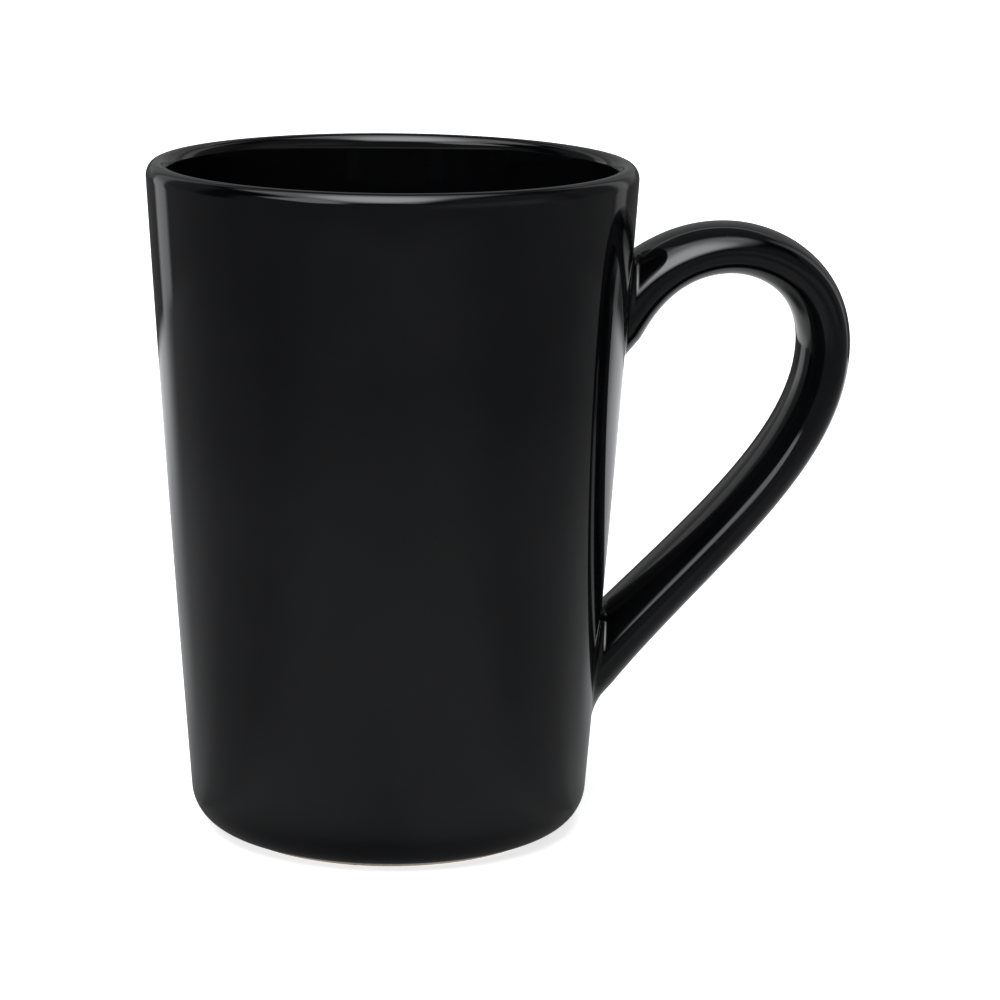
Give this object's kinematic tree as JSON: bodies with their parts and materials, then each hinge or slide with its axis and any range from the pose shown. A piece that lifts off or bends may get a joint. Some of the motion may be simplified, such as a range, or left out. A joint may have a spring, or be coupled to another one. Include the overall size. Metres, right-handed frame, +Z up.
{
  "type": "ceramic mug",
  "caption": "Tapered stoneware mug with a rounded lip, a looped ear handle luted on with slip, a dark gloss glaze and a bare foot ring.",
  "frame": {"origin": "where the cup's axis meets the plane that the foot ring stands on", "axes": "+Z up along the cup's axis, +X from the axis towards the handle, +Y across the handle"},
  "size_m": [0.1203, 0.0824, 0.1145],
  "materials": {
    "bare_clay": "matt fired stoneware",
    "black_glaze": "gloss"
  },
  "bodies": {
    "root": {"clay_body": "bare_clay", "handle": "bare_clay", "upper_slip_joint": "bare_clay", "lower_slip_joint": "bare_clay", "interior_glaze": "black_glaze", "exterior_glaze": "black_glaze", "handle_glaze": "black_glaze", "underside_glaze": "black_glaze"}
  },
  "joints": []
}
